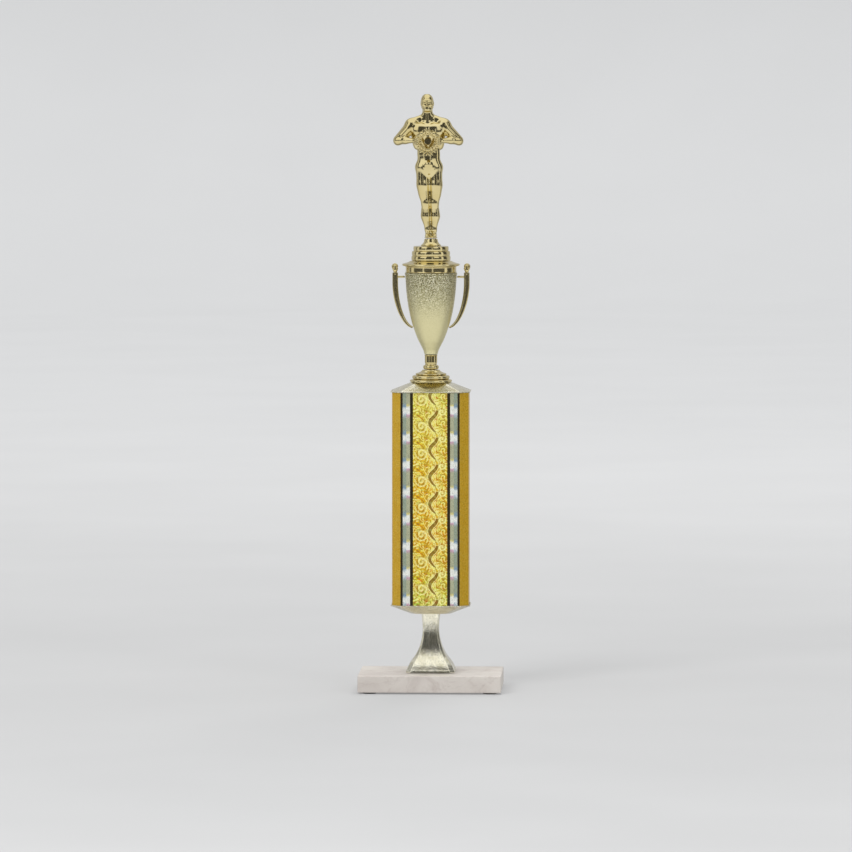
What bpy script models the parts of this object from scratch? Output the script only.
"""Column trophy: a figure on a lidded cup, on a film-wrapped column, on a marble base.

Units are metres and +Z is up.  The origin is under the middle of the base, on the surface that
the trophy stands on.  The front faces -Y, so +X is on the right of someone who looks at it.
Every piece above the base is threaded on one vertical rod.  A nut under the base and a nut on
the cup's lid clamp the stack, and the figure screws onto the end of the rod.
"""
import math

import bmesh
import bpy

GAP = 0.0003            # clearance between pieces that touch
ROUND_STEPS = 32        # sides of a turned piece
SMALL_STEPS = 16        # sides of the rod, the pads and the washers

# Base
BASE_WIDTH = 0.1240     # sold as 5 in, sawn and polished a little under
BASE_DEPTH = 0.0889
BASE_THICKNESS = 0.0145
BASE_EDGE = 0.0007
PAD_THICKNESS = 0.001
PAD_RADIUS = 0.006
PAD_INSET = 0.010

# Rod and fasteners, for a quarter-inch thread
ROD_RADIUS = 0.003175
ROD_ROOT_RADIUS = 0.0026
THREAD_PITCH = 0.00127
BORE_RADIUS = 0.0036
NUT_BORE_RADIUS = 0.0035
NUT_FLATS = 0.0111
NUT_HEIGHT = 0.0052
WASHER_THICKNESS = 0.0012
BASE_WASHER_RADIUS = 0.0115
LID_WASHER_RADIUS = 0.0085
COUNTERBORE_RADIUS = 0.0135
COUNTERBORE_DEPTH = 0.0078

# Riser, between base and column
RISER_HEIGHT = 0.0505
RISER_WALL = 0.0016
RISER_CHAMFER = 0.19    # cut corner as a part of the half width

# Column and its two caps
COLUMN_WIDTH = 0.0663
COLUMN_DEPTH = 0.0445
COLUMN_CHAMFER = 0.0074
COLUMN_VISIBLE = 0.1848
WRAP_THICKNESS = 0.0005
CORE_WALL = 0.002
CAP_LIP = 0.0011        # lip round the column's end
CAP_RIM_HEIGHT = 0.0009
CAP_SOCKET_DEPTH = 0.0007
CAP_SLOPE_HEIGHT = 0.0070
CAP_PLATE = 0.50        # the cap's plate as a part of its rim
CAP_WALL = 0.0016

# Cup
FOOT_HEIGHT = 0.0107
STEM_HEIGHT = 0.0130
BOWL_HEIGHT = 0.0706
BOWL_WALL = 0.0015
BAND_HEIGHT = 0.0054
BAND_RADIUS = 0.0223
BAND_WALL = 0.0018
LID_RADIUS = 0.0250
LID_HEIGHT = 0.0043
HANDLE_DEPTH = 0.0044   # front to back

# Figure and what it stands on
COLLAR_HEIGHT = 0.0124
COLLAR_WALL = 0.0020
PLINTH_HEIGHT = 0.0062
FIGURE_LEAN = math.radians(1.6)
FIGURE_VOXEL = 0.0012
FIGURE_KEEP = 0.25      # part of the figure's faces that is kept

# Heights, from the bottom up
BASE_BOTTOM = PAD_THICKNESS + GAP
BASE_TOP = BASE_BOTTOM + BASE_THICKNESS
RISER_BOTTOM = BASE_TOP + GAP
RISER_TOP = RISER_BOTTOM + RISER_HEIGHT
LOWER_CAP_BOTTOM = RISER_TOP + GAP
LOWER_CAP_TOP = LOWER_CAP_BOTTOM + CAP_SLOPE_HEIGHT + CAP_RIM_HEIGHT
COLUMN_BOTTOM = LOWER_CAP_TOP - CAP_SOCKET_DEPTH + GAP
COLUMN_TOP = LOWER_CAP_TOP + COLUMN_VISIBLE + CAP_SOCKET_DEPTH - GAP
UPPER_CAP_BOTTOM = LOWER_CAP_TOP + COLUMN_VISIBLE
UPPER_CAP_TOP = UPPER_CAP_BOTTOM + CAP_SLOPE_HEIGHT + CAP_RIM_HEIGHT
FOOT_BOTTOM = UPPER_CAP_TOP + GAP
STEM_BOTTOM = FOOT_BOTTOM + FOOT_HEIGHT + GAP
BOWL_BOTTOM = STEM_BOTTOM + STEM_HEIGHT + GAP
BAND_BOTTOM = BOWL_BOTTOM + BOWL_HEIGHT + GAP
LID_BOTTOM = BAND_BOTTOM + BAND_HEIGHT + GAP
LID_TOP = LID_BOTTOM + LID_HEIGHT
COLLAR_BOTTOM = LID_TOP + GAP
PLINTH_BOTTOM = COLLAR_BOTTOM + COLLAR_HEIGHT + GAP
PLINTH_TOP = PLINTH_BOTTOM + PLINTH_HEIGHT
FIGURE_BOTTOM = PLINTH_TOP + GAP
ROD_BOTTOM = BASE_BOTTOM + GAP
ROD_TOP = PLINTH_TOP - 0.0020

BOWL_OUTSIDE = [  # radius, height above the bowl's bottom
    (0.0057, 0.0), (0.0065, 0.0030), (0.0087, 0.0076), (0.0112, 0.0125), (0.0140, 0.0197),
    (0.0170, 0.0290), (0.0191, 0.0382), (0.0205, 0.0470), (0.0215, 0.0561), (0.0223, 0.0686),
]
RISER_OUTSIDE = [  # half width, height above the riser's bottom
    (0.0212, 0.0), (0.0210, 0.0023), (0.0181, 0.0072), (0.0136, 0.0136), (0.0105, 0.0198),
    (0.0085, 0.0260), (0.0076, 0.0322), (0.0070, 0.0390), (0.0072, 0.0460), (0.0081, 0.0505),
]
HANDLE_LINE = [  # distance from the axis, height above the bowl's bottom, width of the band
    (0.0310, 0.0706, 0.0049), (0.0309, 0.0578, 0.0049), (0.0296, 0.0475, 0.0046),
    (0.0271, 0.0382, 0.0040), (0.0238, 0.0308, 0.0032), (0.0205, 0.0262, 0.0025),
    (0.0178, 0.0240, 0.0020),
]


# ---------------------------------------------------------------- scene, materials and meshes

def clear_scene():
    for old in list(bpy.data.objects):
        bpy.data.objects.remove(old)


def make_material(name, colour, metallic, roughness):
    material = bpy.data.materials.new(name)
    material.use_nodes = True
    shader = material.node_tree.nodes["Principled BSDF"]
    shader.inputs["Base Color"].default_value = (*colour, 1.0)
    shader.inputs["Metallic"].default_value = metallic
    shader.inputs["Roughness"].default_value = roughness
    material.diffuse_color = (*colour, 1.0)
    return material


def marble_material(name):
    return make_material(name, (0.62, 0.57, 0.55), 0.0, 0.35)


def felt_material(name):
    return make_material(name, (0.05, 0.05, 0.05), 0.0, 0.9)


def steel_material(name):
    return make_material(name, (0.60, 0.60, 0.58), 1.0, 0.35)


def polished_gold_material(name):
    return make_material(name, (0.70, 0.52, 0.18), 1.0, 0.12)


def satin_gold_material(name):
    return make_material(name, (0.68, 0.62, 0.38), 1.0, 0.35)


def film_material(name):
    return make_material(name, (0.72, 0.52, 0.10), 0.8, 0.25)


def card_material(name):
    return make_material(name, (0.70, 0.68, 0.62), 0.0, 0.7)


def add_object(name, mesh_data, material, smooth_angle=math.radians(40)):
    """Wrap a bmesh in an object that has its own material."""
    bmesh.ops.recalc_face_normals(mesh_data, faces=mesh_data.faces)
    mesh = bpy.data.meshes.new(name)
    mesh_data.to_mesh(mesh)
    mesh_data.free()
    mesh.shade_smooth()
    mesh.set_sharp_from_angle(angle=smooth_angle)
    item = bpy.data.objects.new(name, mesh)
    item.data.materials.append(material(name))
    bpy.context.scene.collection.objects.link(item)
    return item


def hide_helper(item):
    """Mark a boolean's second shape, which is not a piece of the trophy."""
    item.hide_render = True
    item.display_type = "WIRE"


def combine(item, other, operation):
    modifier = item.modifiers.new(operation.lower(), "BOOLEAN")
    modifier.operation = operation
    modifier.object = other
    hide_helper(other)


# ---------------------------------------------------------------- outlines and lofts

def circle(radius, steps=ROUND_STEPS):
    """Points of a circle, counter-clockwise from the +X axis."""
    angles = [2 * math.pi * step / steps for step in range(steps)]
    return [(radius * math.cos(angle), radius * math.sin(angle)) for angle in angles]


def chamfered_rectangle(half_width, half_depth, chamfer, side_steps=3):
    """Points of a rectangle with cut corners, with each side in equal steps."""
    corners = [
        (half_width, -half_depth + chamfer), (half_width, half_depth - chamfer),
        (half_width - chamfer, half_depth), (-half_width + chamfer, half_depth),
        (-half_width, half_depth - chamfer), (-half_width, -half_depth + chamfer),
        (-half_width + chamfer, -half_depth), (half_width - chamfer, -half_depth),
    ]
    points = []
    for corner, following in zip(corners, corners[1:] + corners[:1]):
        for step in range(side_steps):
            part = step / side_steps
            points.append((corner[0] + (following[0] - corner[0]) * part,
                           corner[1] + (following[1] - corner[1]) * part))
    return points


def column_outline(inset):
    """The column's plan, moved in by a distance on every side."""
    chamfer = COLUMN_CHAMFER - inset * (2 - math.sqrt(2))
    return chamfered_rectangle(COLUMN_WIDTH / 2 - inset, COLUMN_DEPTH / 2 - inset, chamfer)


def circle_to_match(outline, radius):
    """A circle with as many points as an outline, starting in the direction of its first one."""
    start = math.atan2(outline[0][1], outline[0][0])
    angles = [start + 2 * math.pi * step / len(outline) for step in range(len(outline))]
    return [(radius * math.cos(angle), radius * math.sin(angle)) for angle in angles]


def scaled(outline, factor):
    return [(x * factor, y * factor) for x, y in outline]


def loft(name, sections, material, closed_ring=True):
    """Skin a list of (outline, height).  A closed ring returns to its first section, round a bore."""
    shape = bmesh.new()
    rings = [[shape.verts.new((x, y, height)) for x, y in outline] for outline, height in sections]
    pairs = list(zip(rings, rings[1:]))
    if closed_ring:
        pairs.append((rings[-1], rings[0]))
    else:
        shape.faces.new(rings[0])
        shape.faces.new(rings[-1])
    for lower, upper in pairs:
        count = len(lower)
        for index in range(count):
            following = (index + 1) % count
            shape.faces.new((lower[index], lower[following], upper[following], upper[index]))
    return add_object(name, shape, material)


def turned(name, profile, material, bottom, steps=ROUND_STEPS, closed_ring=True):
    """A lathe-turned piece from (radius, height above bottom) points."""
    sections = [(circle(radius, steps), bottom + height) for radius, height in profile]
    return loft(name, sections, material, closed_ring)


def bead(radius, low, high, steps=6, reach=None):
    """Profile points of a round bead from low to high, with its outermost radius given.

    reach is how far the bead stands out.  It is half the bead's height unless it is given.
    """
    half = (high - low) / 2
    if reach is None:
        reach = half
    points = []
    for step in range(steps + 1):
        angle = math.pi * (step / steps - 0.5)
        points.append((radius - reach + reach * math.cos(angle), low + half + half * math.sin(angle)))
    return points


def smooth_line(points, steps=3):
    """Points on a Catmull-Rom curve through the given ones."""
    ends = [points[0]] + list(points) + [points[-1]]
    line = []
    for index in range(len(points) - 1):
        before, start, end, after = ends[index:index + 4]
        for step in range(steps):
            part = step / steps
            line.append(tuple(
                0.5 * (2 * b + (c - a) * part + (2 * a - 5 * b + 4 * c - d) * part ** 2
                       + (3 * b - a - 3 * c + d) * part ** 3)
                for a, b, c, d in zip(before, start, end, after)))
    line.append(tuple(points[-1]))
    return line


def hexagon_and_bore(bore_radius):
    """The two outlines of a nut, with matching points."""
    outside = []
    corners = circle(NUT_FLATS / math.sqrt(3), 6)
    for corner, following in zip(corners, corners[1:] + corners[:1]):
        for part in (0.0, 0.5):
            outside.append((corner[0] + (following[0] - corner[0]) * part,
                            corner[1] + (following[1] - corner[1]) * part))
    return outside, circle_to_match(outside, bore_radius)


# ---------------------------------------------------------------- base and fasteners

def make_foot_pads():
    across = BASE_WIDTH / 2 - PAD_INSET
    along = BASE_DEPTH / 2 - PAD_INSET
    places = [(-across, -along), (across, -along), (across, along), (-across, along)]
    for number, (x, y) in enumerate(places, 1):
        edge = 0.0002
        profile = [(PAD_RADIUS - edge, 0.0), (PAD_RADIUS, edge), (PAD_RADIUS, PAD_THICKNESS)]
        sections = [([(x + px, y + py) for px, py in circle(radius, SMALL_STEPS)], height)
                    for radius, height in profile]
        loft(f"foot_pad_{number}", sections, felt_material, closed_ring=False)


def make_marble_base():
    shape = bmesh.new()
    bmesh.ops.create_cube(shape, size=1.0)
    bmesh.ops.scale(shape, vec=(BASE_WIDTH, BASE_DEPTH, BASE_THICKNESS), verts=shape.verts)
    bmesh.ops.translate(shape, vec=(0, 0, BASE_BOTTOM + BASE_THICKNESS / 2), verts=shape.verts)
    base = add_object("marble_base", shape, marble_material)
    edge = base.modifiers.new("edge", "BEVEL")
    edge.width = BASE_EDGE
    edge.segments = 2
    past = 0.002        # how far the drill runs past the two faces
    drill_profile = [
        (COUNTERBORE_RADIUS, BASE_BOTTOM - past), (COUNTERBORE_RADIUS, BASE_BOTTOM + COUNTERBORE_DEPTH),
        (BORE_RADIUS, BASE_BOTTOM + COUNTERBORE_DEPTH), (BORE_RADIUS, BASE_TOP + past),
    ]
    drill = turned("drill", drill_profile, marble_material, 0.0, closed_ring=False)
    combine(base, drill, "DIFFERENCE")


def make_washer(name, radius, bottom):
    edge = 0.0002
    profile = [
        (BORE_RADIUS, 0.0), (radius - edge, 0.0), (radius, edge), (radius, WASHER_THICKNESS - edge),
        (radius - edge, WASHER_THICKNESS), (BORE_RADIUS, WASHER_THICKNESS),
    ]
    turned(name, profile, steel_material, bottom, steps=24)


def make_nut(name, bottom):
    outside, bore = hexagon_and_bore(NUT_BORE_RADIUS)
    chamfered = scaled(outside, 0.93)
    chamfer_height = 0.0006
    sections = [
        (bore, bottom), (chamfered, bottom), (outside, bottom + chamfer_height),
        (outside, bottom + NUT_HEIGHT - chamfer_height), (chamfered, bottom + NUT_HEIGHT),
        (bore, bottom + NUT_HEIGHT),
    ]
    loft(name, sections, steel_material)


def thread(low, high):
    """Profile points of a stretch of thread, drawn as rings a pitch apart."""
    points = []
    for turn in range(int((high - low) / THREAD_PITCH)):
        root = low + THREAD_PITCH * turn
        points.append((ROD_ROOT_RADIUS, root))
        points.append((ROD_RADIUS, root + THREAD_PITCH / 2))
    return points


def make_rod():
    """A steel rod with thread where the nuts and the figure hold it."""
    plain_end = ROD_BOTTOM + 0.010
    upper_thread = LID_TOP - 0.002
    profile = thread(ROD_BOTTOM, plain_end) + [(ROD_RADIUS, plain_end), (ROD_RADIUS, upper_thread)]
    profile += thread(upper_thread + THREAD_PITCH / 2, ROD_TOP) + [(ROD_ROOT_RADIUS, ROD_TOP)]
    turned("threaded_rod", profile, steel_material, 0.0, steps=12, closed_ring=False)


def make_fasteners():
    ceiling = BASE_BOTTOM + COUNTERBORE_DEPTH
    base_washer_bottom = ceiling - GAP - WASHER_THICKNESS
    make_washer("base_washer", BASE_WASHER_RADIUS, base_washer_bottom)
    make_nut("base_nut", base_washer_bottom - GAP - NUT_HEIGHT)
    lid_washer_bottom = LID_TOP + GAP
    make_washer("lid_washer", LID_WASHER_RADIUS, lid_washer_bottom)
    make_nut("lid_nut", lid_washer_bottom + WASHER_THICKNESS + GAP)


# ---------------------------------------------------------------- riser and column

def riser_outline(half_width):
    return chamfered_rectangle(half_width, half_width, half_width * RISER_CHAMFER)


def make_riser():
    """A square trumpet of thin moulding, open underneath."""
    outside = smooth_line(RISER_OUTSIDE, steps=2)
    sections = [(riser_outline(half), RISER_BOTTOM + height) for half, height in outside]
    roof = RISER_HEIGHT - 2 * RISER_WALL
    inside = [(half - RISER_WALL, height) for half, height in outside if height < roof]
    bore = circle_to_match(sections[0][0], BORE_RADIUS)
    sections += [(bore, RISER_TOP), (bore, RISER_BOTTOM + roof)]
    sections += [(riser_outline(half), RISER_BOTTOM + height) for half, height in reversed(inside)]
    loft("riser", sections, satin_gold_material)


def make_cap(name, rim_face, direction):
    """A hollow pyramid whose lip holds the column's end.  direction points away from the column."""
    rim = column_outline(-GAP - CAP_LIP)
    socket = column_outline(-GAP)
    ledge = column_outline(WRAP_THICKNESS + GAP + CAP_WALL)
    plate = scaled(rim, CAP_PLATE)
    bore = circle_to_match(rim, BORE_RADIUS)
    socket_floor = CAP_SOCKET_DEPTH
    plate_height = CAP_RIM_HEIGHT + CAP_SLOPE_HEIGHT
    steps = [
        (socket, 0.0), (rim, 0.0), (rim, CAP_RIM_HEIGHT), (plate, plate_height), (bore, plate_height),
        (bore, plate_height - CAP_WALL), (scaled(plate, 0.94), plate_height - CAP_WALL),
        (ledge, socket_floor), (socket, socket_floor),
    ]
    sections = [(outline, rim_face + direction * height) for outline, height in steps]
    loft(name, sections, satin_gold_material)


def make_shell(name, outer_inset, wall, material):
    """An open-ended tube with the column's plan."""
    outer = column_outline(outer_inset)
    inner = column_outline(outer_inset + wall)
    sections = [(inner, COLUMN_BOTTOM), (outer, COLUMN_BOTTOM), (outer, COLUMN_TOP), (inner, COLUMN_TOP)]
    loft(name, sections, material)


def make_column():
    make_cap("bottom_cap", LOWER_CAP_TOP, -1)
    make_shell("column_core", WRAP_THICKNESS + GAP, CORE_WALL, card_material)
    make_shell("column_wrap", 0.0, WRAP_THICKNESS, film_material)
    make_cap("top_cap", UPPER_CAP_BOTTOM, 1)


# ---------------------------------------------------------------- cup

def make_cup_foot():
    """Three steps, each smaller than the one below, that sweep up to the stem."""
    profile = [(BORE_RADIUS, 0.0)]
    profile += bead(0.0183, 0.0, 0.0022)
    profile += bead(0.0163, 0.0025, 0.0058)
    profile += bead(0.0134, 0.0062, 0.0076)
    profile += [(0.0112, 0.0081), (0.0092, 0.0090), (0.0079, 0.0101), (0.0075, FOOT_HEIGHT)]
    profile += [(BORE_RADIUS, FOOT_HEIGHT)]
    turned("cup_foot", profile, polished_gold_material, FOOT_BOTTOM)


def make_cup_stem():
    """A bead and the plain collar that carries the bowl."""
    profile = [(BORE_RADIUS, 0.0)]
    profile += bead(0.0069, 0.0, 0.0038)
    profile += [(0.0053, 0.0042), (0.0054, 0.0050), (0.0054, 0.0125), (0.0052, STEM_HEIGHT)]
    profile += [(BORE_RADIUS, STEM_HEIGHT)]
    turned("cup_stem", profile, polished_gold_material, STEM_BOTTOM)


def make_cup_bowl():
    """The tall frosted shell, with a bead round its mouth."""
    outside = smooth_line(BOWL_OUTSIDE, steps=2)
    mouth = bead(0.0228, outside[-1][1] + 0.0001, BOWL_HEIGHT, steps=4)
    floor = 0.0045
    inside = [(radius - BOWL_WALL, height) for radius, height in BOWL_OUTSIDE if height > floor]
    rim_inside = (inside[-1][0], BOWL_HEIGHT)
    profile = [(BORE_RADIUS, 0.0)] + outside + mouth + [rim_inside] + inside[::-1]
    profile += [(BORE_RADIUS, inside[0][1])]
    turned("cup_bowl", profile, satin_gold_material, BOWL_BOTTOM)


def make_cup_band():
    edge = 0.0004
    inner = BAND_RADIUS - BAND_WALL
    profile = [
        (inner, 0.0), (BAND_RADIUS, 0.0), (BAND_RADIUS, BAND_HEIGHT - edge),
        (BAND_RADIUS - edge, BAND_HEIGHT), (inner, BAND_HEIGHT),
    ]
    turned("cup_band", profile, polished_gold_material, BAND_BOTTOM)


def make_cup_lid():
    """A disc with a rolled rim, dished up to the figure's collar, with a plug inside the band."""
    plug_radius = BAND_RADIUS - BAND_WALL - GAP
    plug_depth = 0.0030
    rim_height = 0.0019
    shoulder = 0.0174
    profile = [
        (BORE_RADIUS, -plug_depth), (plug_radius, -plug_depth), (plug_radius, 0.0),
    ]
    profile += bead(LID_RADIUS, 0.0, rim_height)
    profile += [(0.0230, 0.0024), (0.0200, 0.0033), (shoulder, LID_HEIGHT), (BORE_RADIUS, LID_HEIGHT)]
    turned("cup_lid", profile, polished_gold_material, LID_BOTTOM)


def handle_band(side):
    """The handle's curved strap, as square sections along its line."""
    line = smooth_line(HANDLE_LINE, steps=3)
    shape = bmesh.new()
    rings = []
    for index, (x, height, width) in enumerate(line):
        before = line[max(index - 1, 0)]
        after = line[min(index + 1, len(line) - 1)]
        run = math.hypot(after[0] - before[0], after[1] - before[1])
        across = ((after[1] - before[1]) / run, -(after[0] - before[0]) / run)
        ring = []
        for part, y in ((-0.5, -0.30), (-0.3, -0.5), (0.3, -0.5), (0.5, -0.30),
                        (0.5, 0.30), (0.3, 0.5), (-0.3, 0.5), (-0.5, 0.30)):
            ring.append(shape.verts.new((side * (x + across[0] * width * part), y * HANDLE_DEPTH,
                                         BOWL_BOTTOM + height + across[1] * width * part)))
        rings.append(ring)
    for lower, upper in zip(rings, rings[1:]):
        for index in range(len(lower)):
            following = (index + 1) % len(lower)
            shape.faces.new((lower[index], lower[following], upper[following], upper[index]))
    shape.faces.new(rings[0])
    shape.faces.new(rings[-1])
    return shape


def handle_arm(side):
    """The short bar from the top of the handle to the bowl."""
    arm_height = 0.0020
    arm_bottom = BOWL_BOTTOM + 0.0660
    start = BAND_RADIUS + 2 * GAP
    end = HANDLE_LINE[0][0]
    shape = bmesh.new()
    bmesh.ops.create_cube(shape, size=1.0)
    bmesh.ops.scale(shape, vec=(end - start, 0.5 * HANDLE_DEPTH, arm_height), verts=shape.verts)
    bmesh.ops.translate(shape, vec=(side * (start + end) / 2, 0, arm_bottom + arm_height / 2),
                        verts=shape.verts)
    return shape


def handle_bud(side):
    """The bud on top of the handle."""
    shape = bmesh.new()
    bmesh.ops.create_uvsphere(shape, u_segments=12, v_segments=8, radius=1.0)
    bmesh.ops.scale(shape, vec=(0.0032, 0.0028, 0.0056), verts=shape.verts)
    top = BOWL_BOTTOM + HANDLE_LINE[0][1]
    bmesh.ops.translate(shape, vec=(side * (HANDLE_LINE[0][0] + 0.0001), 0, top + 0.0043),
                        verts=shape.verts)
    return shape


def make_handle(name, side):
    handle = add_object(name, handle_band(side), polished_gold_material)
    for part, build in (("arm", handle_arm), ("bud", handle_bud)):
        helper = add_object(f"{name}_{part}", build(side), polished_gold_material)
        combine(handle, helper, "UNION")


# ---------------------------------------------------------------- figure

def make_figure_collar():
    """Three rounded tiers that hide the upper nut."""
    tiers = ((0.0172, 0.0, 0.0040), (0.0165, 0.0040, 0.0081), (0.0153, 0.0081, COLLAR_HEIGHT))
    tier_reach = 0.0010
    hollow = tiers[-1][0] - tier_reach - COLLAR_WALL
    roof = COLLAR_HEIGHT - COLLAR_WALL
    profile = [(hollow, 0.0)]
    for radius, low, high in tiers:
        profile += bead(radius, low, high, steps=5, reach=tier_reach)
    profile += [(BORE_RADIUS, COLLAR_HEIGHT), (BORE_RADIUS, roof), (hollow, roof)]
    turned("figure_collar", profile, polished_gold_material, COLLAR_BOTTOM)


def make_figure_plinth():
    """The flared foot under the figure, with a blind hole for the rod."""
    blind_top = ROD_TOP + GAP - PLINTH_BOTTOM
    profile = [
        (0.0087, 0.0), (0.0087, 0.0008), (0.0071, 0.0021), (0.0061, 0.0038), (0.0058, PLINTH_HEIGHT),
    ]
    outside = turned("figure_plinth", profile, polished_gold_material, PLINTH_BOTTOM,
                     closed_ring=False)
    drill_profile = [(BORE_RADIUS, -0.002), (BORE_RADIUS, blind_top)]
    drill = turned("plinth_drill", drill_profile, polished_gold_material, PLINTH_BOTTOM,
                   closed_ring=False)
    combine(outside, drill, "DIFFERENCE")


def add_blob(shape, centre, radii):
    """Add an ellipsoid to a mesh."""
    made = bmesh.ops.create_icosphere(shape, subdivisions=3, radius=1.0)
    bmesh.ops.scale(shape, vec=radii, verts=made["verts"])
    bmesh.ops.translate(shape, vec=centre, verts=made["verts"])


def add_limb(shape, start, start_radius, end, end_radius):
    """Add a tapered rod with round ends to a mesh."""
    steps = 8
    for step in range(steps + 1):
        part = step / steps
        centre = [a + (b - a) * part for a, b in zip(start, end)]
        radius = start_radius + (end_radius - start_radius) * part
        add_blob(shape, centre, (radius, radius, radius))


def add_leg(shape, side):
    ankle = (side * 0.0028, 0.0002, 0.0050)
    calf = (side * 0.0041, 0.0010, 0.0190)
    knee = (side * 0.0040, -0.0004, 0.0300)
    thigh = (side * 0.0056, -0.0002, 0.0460)
    hip = (side * 0.0058, 0.0004, 0.0610)
    toe = (side * 0.0030, -0.0042, 0.0014)
    heel = (side * 0.0026, 0.0022, 0.0022)
    add_limb(shape, heel, 0.0020, toe, 0.0013)
    add_limb(shape, heel, 0.0022, ankle, 0.0025)
    add_limb(shape, ankle, 0.0025, calf, 0.0042)
    add_limb(shape, calf, 0.0042, knee, 0.0037)
    add_limb(shape, knee, 0.0037, thigh, 0.0056)
    add_limb(shape, thigh, 0.0056, hip, 0.0064)


def add_arm(shape, side):
    shoulder = (side * 0.0128, 0.0010, 0.0978)
    elbow = (side * 0.0266, 0.0005, 0.0838)
    wrist = (side * 0.0110, -0.0053, 0.0845)
    add_limb(shape, (0, 0.0010, 0.1018), 0.0048, shoulder, 0.0057)
    add_limb(shape, shoulder, 0.0055, elbow, 0.0036)
    add_limb(shape, elbow, 0.0036, wrist, 0.0030)


def add_torso_and_head(shape):
    add_blob(shape, (0, 0.0005, 0.0600), (0.0120, 0.0082, 0.0110))
    add_blob(shape, (0, 0.0000, 0.0730), (0.0100, 0.0068, 0.0150))
    add_blob(shape, (0, 0.0005, 0.0910), (0.0150, 0.0088, 0.0135))
    add_limb(shape, (0, 0.0008, 0.1030), 0.0050, (0, 0.0002, 0.1125), 0.0044)
    add_blob(shape, (0, -0.0004, 0.1177), (0.0060, 0.0068, 0.0073))


def make_figure():
    """A standing figure whose hands meet in front of its chest."""
    shape = bmesh.new()
    for side in (-1, 1):
        add_leg(shape, side)
        add_arm(shape, side)
    add_torso_and_head(shape)
    for vertex in shape.verts:
        vertex.co.x -= math.tan(FIGURE_LEAN) * vertex.co.z
        vertex.co.z += FIGURE_BOTTOM
    figure = add_object("figure", shape, polished_gold_material)
    skin = figure.modifiers.new("skin", "REMESH")
    skin.mode = "VOXEL"
    skin.voxel_size = FIGURE_VOXEL
    soften = figure.modifiers.new("soften", "SMOOTH")
    soften.factor = 0.5
    soften.iterations = 2
    thin_out = figure.modifiers.new("thin_out", "DECIMATE")
    thin_out.ratio = FIGURE_KEEP


def make_wreath():
    """A ring of leaves held before the chest.  Each leaf swells the ring a little."""
    ring_radius = 0.0078
    thickness = 0.0024
    leaves = 12
    ring_steps = leaves * 4
    tube_steps = 8
    height = FIGURE_BOTTOM + 0.0838
    centre_x = -math.tan(FIGURE_LEAN) * 0.0838
    centre_y = -0.0112
    shape = bmesh.new()
    rings = []
    for step in range(ring_steps):
        angle = 2 * math.pi * step / ring_steps
        swell = 1.0 + 0.22 * math.sin(leaves * angle)
        ring = []
        for turn in range(tube_steps):
            around = 2 * math.pi * turn / tube_steps
            reach = ring_radius + thickness * swell * math.cos(around)
            ring.append(shape.verts.new((centre_x + reach * math.cos(angle),
                                         centre_y + 0.7 * thickness * swell * math.sin(around),
                                         height + reach * math.sin(angle))))
        rings.append(ring)
    for ring, following in zip(rings, rings[1:] + rings[:1]):
        for turn in range(tube_steps):
            after = (turn + 1) % tube_steps
            shape.faces.new((ring[turn], ring[after], following[after], following[turn]))
    add_object("wreath", shape, polished_gold_material)


def main():
    clear_scene()
    make_foot_pads()
    make_marble_base()
    make_rod()
    make_fasteners()
    make_riser()
    make_column()
    make_cup_foot()
    make_cup_stem()
    make_cup_bowl()
    make_cup_band()
    make_cup_lid()
    make_handle("handle_left", -1)
    make_handle("handle_right", 1)
    make_figure_collar()
    make_figure_plinth()
    make_figure()
    make_wreath()


main()
